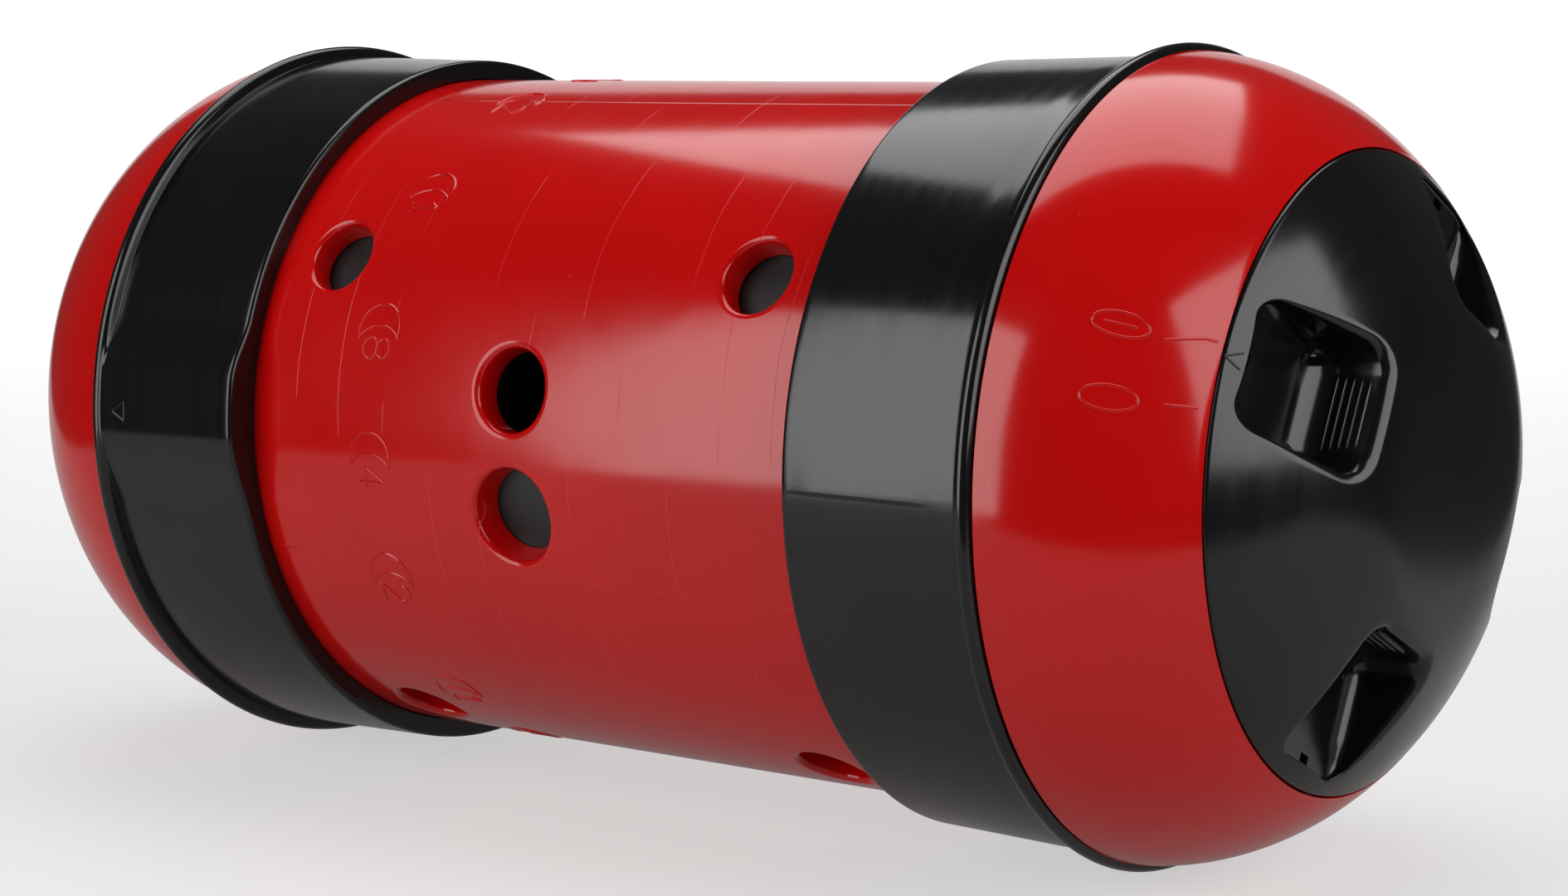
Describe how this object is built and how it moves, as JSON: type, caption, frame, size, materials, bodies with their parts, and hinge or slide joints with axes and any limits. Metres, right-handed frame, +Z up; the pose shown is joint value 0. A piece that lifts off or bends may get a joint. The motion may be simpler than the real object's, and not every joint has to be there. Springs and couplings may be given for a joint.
{
  "type": "adjustable feed roller",
  "caption": "Free-rolling plastic feed dispenser: red barrel with feed holes over a turning shutter sleeve, domed ends with black collars and bayonet caps with finger recesses.",
  "frame": {"origin": "on the ground under the middle of the roller", "axes": "+X along the roller's axis towards the right end, -Y towards the viewer, +Z up"},
  "size_m": [0.5178, 0.2476, 0.2477],
  "materials": {
    "red_plastic": "glossy moulded polyethylene with fine scuffs",
    "black_plastic": "satin moulded plastic",
    "natural_plastic": "smooth uncoloured sliding plastic",
    "rubber": "soft matt rubber",
    "steel": "stainless screw"
  },
  "bodies": {
    "barrel": {"barrel": "red_plastic", "left_glide_ring": "natural_plastic", "right_glide_ring": "natural_plastic", "right_thrust_ring": "natural_plastic", "right_dome": "red_plastic", "right_dome_screws": "steel", "right_collar": "black_plastic"},
    "setting_end": {"shutter_sleeve": "black_plastic", "left_friction_ring": "rubber", "left_dome": "red_plastic", "left_dome_screws": "steel", "left_collar": "black_plastic"},
    "right_cap": {"right_cap": "black_plastic", "right_cap_seal": "rubber"},
    "left_cap": {"left_cap": "black_plastic", "left_cap_seal": "rubber"}
  },
  "joints": [
    {"name": "setting_turn", "type": "hinge", "parent": "barrel", "child": "setting_end", "pos_m": [0, 0, 0.12385], "axis": [1, 0, 0], "continuous": true},
    {"name": "right_cap_turn", "type": "hinge", "parent": "barrel", "child": "right_cap", "pos_m": [0.22, 0, 0.12385], "axis": [1, 0, 0], "range_deg": [0, 10.5]},
    {"name": "left_cap_turn", "type": "hinge", "parent": "setting_end", "child": "left_cap", "pos_m": [-0.22, 0, 0.12385], "axis": [-1, 0, 0], "range_deg": [0, 10.5]}
  ]
}
